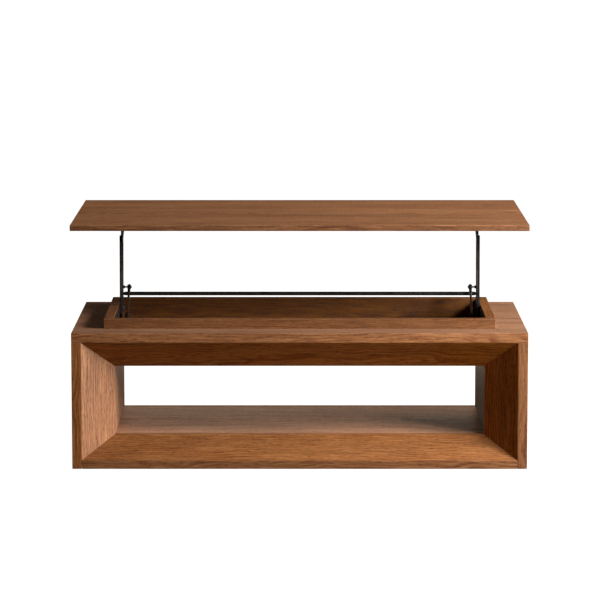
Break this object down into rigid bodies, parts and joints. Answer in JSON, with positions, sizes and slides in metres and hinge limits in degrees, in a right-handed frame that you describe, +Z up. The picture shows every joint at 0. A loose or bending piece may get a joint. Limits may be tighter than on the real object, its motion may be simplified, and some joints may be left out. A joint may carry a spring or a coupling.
{
  "type": "lift top coffee table",
  "caption": "Rectangular wooden coffee table with a through tunnel shelf, a storage compartment with a raised rim, and a lid that swings up and back level on parallel arms with gas struts.",
  "frame": {"origin": "on the floor, under the middle of the cabinet, at the underside of the middle glide", "axes": "+X along the table to the right, +Y the way the lid swings as it rises, +Z up"},
  "size_m": [1.22, 0.8283, 0.6183],
  "materials": {
    "veneer": "satin lacquered open-pored veneer, mid brown",
    "compartment": "satin lacquered veneer, inside of the compartment",
    "black_steel": "semi-matt black powder coat",
    "plated_steel": "zinc-plated pins and studs",
    "strut_rod": "polished rod",
    "strut_paint": "gloss black paint",
    "felt": "dense dark felt",
    "bumper": "translucent soft bumper"
  },
  "bodies": {
    "base": {"top_panel": "veneer", "bottom_panel": "veneer", "left_side_panel": "veneer", "right_side_panel": "veneer", "tunnel_floor": "veneer", "compartment_floor": "compartment", "left_tunnel_wall": "veneer", "right_tunnel_wall": "veneer", "front_bevel_top": "veneer", "front_bevel_bottom": "veneer", "front_bevel_left": "veneer", "front_bevel_right": "veneer", "back_bevel_top": "veneer", "back_bevel_bottom": "veneer", "back_bevel_left": "veneer", "back_bevel_right": "veneer", "compartment_wall_front": "veneer", "compartment_wall_back": "veneer", "compartment_wall_left": "veneer", "compartment_wall_right": "veneer", "glide_middle": "felt", "glide_1": "felt", "glide_2": "felt", "glide_3": "felt", "glide_4": "felt", "bumper_1": "bumper", "bumper_2": "bumper", "bumper_3": "bumper", "bumper_4": "bumper", "base_bracket_left": "black_steel", "lower_pin_rear_left": "plated_steel", "lower_pin_front_left": "plated_steel", "lower_strut_stud_left": "plated_steel", "base_bracket_right": "black_steel", "lower_pin_rear_right": "plated_steel", "lower_pin_front_right": "plated_steel", "lower_strut_stud_right": "plated_steel"},
    "rear_arms": {"rear_arm_left": "black_steel", "rear_arm_right": "black_steel", "cross_bar": "black_steel", "upper_strut_stud_left": "plated_steel", "upper_strut_stud_right": "plated_steel"},
    "lid_body": {"lid": "veneer", "lid_bracket_left": "black_steel", "upper_pin_rear_left": "plated_steel", "upper_pin_front_left": "plated_steel", "lid_bracket_right": "black_steel", "upper_pin_rear_right": "plated_steel", "upper_pin_front_right": "plated_steel"},
    "front_arm_body_left": {"front_arm_left": "black_steel"},
    "strut_rod_body_left": {"strut_rod_end_left": "strut_paint", "strut_rod_left": "strut_rod"},
    "strut_cylinder_body_left": {"strut_cylinder_left": "strut_paint", "strut_foot_left": "strut_paint"},
    "front_arm_body_right": {"front_arm_right": "black_steel"},
    "strut_rod_body_right": {"strut_rod_end_right": "strut_paint", "strut_rod_right": "strut_rod"},
    "strut_cylinder_body_right": {"strut_cylinder_right": "strut_paint", "strut_foot_right": "strut_paint"}
  },
  "joints": [
    {"name": "lift", "type": "hinge", "parent": "base", "child": "rear_arms", "pos_m": [0, 0.118, 0.37036], "axis": [1, 0, 0], "range_deg": [0, 92.4]},
    {"name": "lid_level", "type": "hinge", "parent": "rear_arms", "child": "lid_body", "pos_m": [0, 0.13335, 0.58982], "axis": [1, 0, 0], "range_deg": [-92.5, 0]},
    {"name": "front_arm_left_swing", "type": "hinge", "parent": "base", "child": "front_arm_body_left", "pos_m": [0, 0.052, 0.34636], "axis": [1, 0, 0], "range_deg": [0, 92.5]},
    {"name": "strut_left_swing", "type": "hinge", "parent": "rear_arms", "child": "strut_rod_body_left", "pos_m": [-0.4654, 0.12193, 0.42662], "axis": [1, 0, 0], "range_deg": [-96.55, 0]},
    {"name": "strut_left_slide", "type": "slide", "parent": "strut_rod_body_left", "child": "strut_cylinder_body_left", "axis": [0, 0.8192, 0.5736], "range_m": [0, 0.08061]},
    {"name": "front_arm_right_swing", "type": "hinge", "parent": "base", "child": "front_arm_body_right", "pos_m": [0, 0.052, 0.34636], "axis": [1, 0, 0], "range_deg": [0, 92.5]},
    {"name": "strut_right_swing", "type": "hinge", "parent": "rear_arms", "child": "strut_rod_body_right", "pos_m": [0.4654, 0.12193, 0.42662], "axis": [1, 0, 0], "range_deg": [-96.55, 0]},
    {"name": "strut_right_slide", "type": "slide", "parent": "strut_rod_body_right", "child": "strut_cylinder_body_right", "axis": [0, 0.8192, 0.5736], "range_m": [0, 0.08061]}
  ],
  "couplings": [
    {"joint": "lid_level", "follows": "lift", "ratio": -1},
    {"joint": "front_arm_left_swing", "follows": "lift", "ratio": 1},
    {"joint": "strut_left_swing", "follows": "lift", "ratio": -1.0438},
    {"joint": "strut_left_slide", "follows": "lift", "m_per_rad": 0.049862},
    {"joint": "front_arm_right_swing", "follows": "lift", "ratio": 1},
    {"joint": "strut_right_swing", "follows": "lift", "ratio": -1.0438},
    {"joint": "strut_right_slide", "follows": "lift", "m_per_rad": 0.049862}
  ]
}
